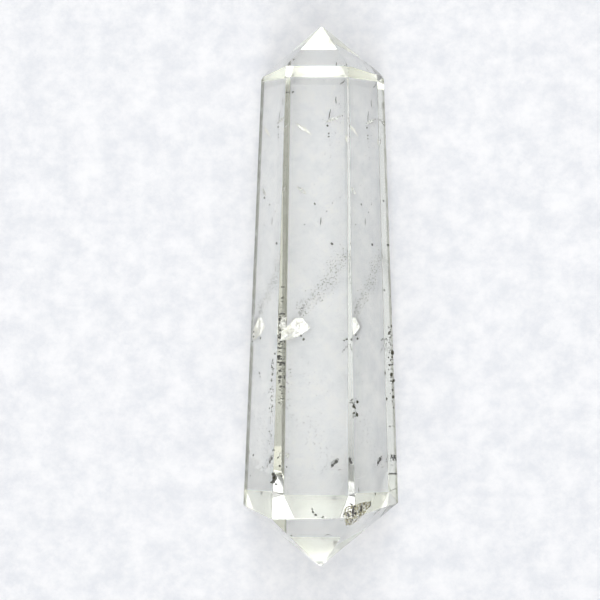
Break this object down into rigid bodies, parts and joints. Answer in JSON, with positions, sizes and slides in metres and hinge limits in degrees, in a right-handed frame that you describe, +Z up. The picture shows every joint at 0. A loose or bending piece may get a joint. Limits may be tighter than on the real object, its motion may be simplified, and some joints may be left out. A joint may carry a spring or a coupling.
{
  "type": "double-terminated quartz crystal point",
  "caption": "Clear rock crystal point, cut and polished to long flat facets that taper along it, with a blunt pyramid at each end; lies flat on a long facet.",
  "frame": {"origin": "on the resting facet's plane, under the middle of the stone's box", "axes": "+Y along the stone towards its narrow end, +Z up from the resting facet, +X to the right when the narrow end points away"},
  "size_m": [0.0234, 0.082, 0.0213],
  "materials": {
    "rock_crystal": "clear polished quartz with white fractures, a veil of tiny bubbles and dark specks inside"
  },
  "bodies": {
    "root": {"quartz_point": "rock_crystal"}
  },
  "joints": []
}
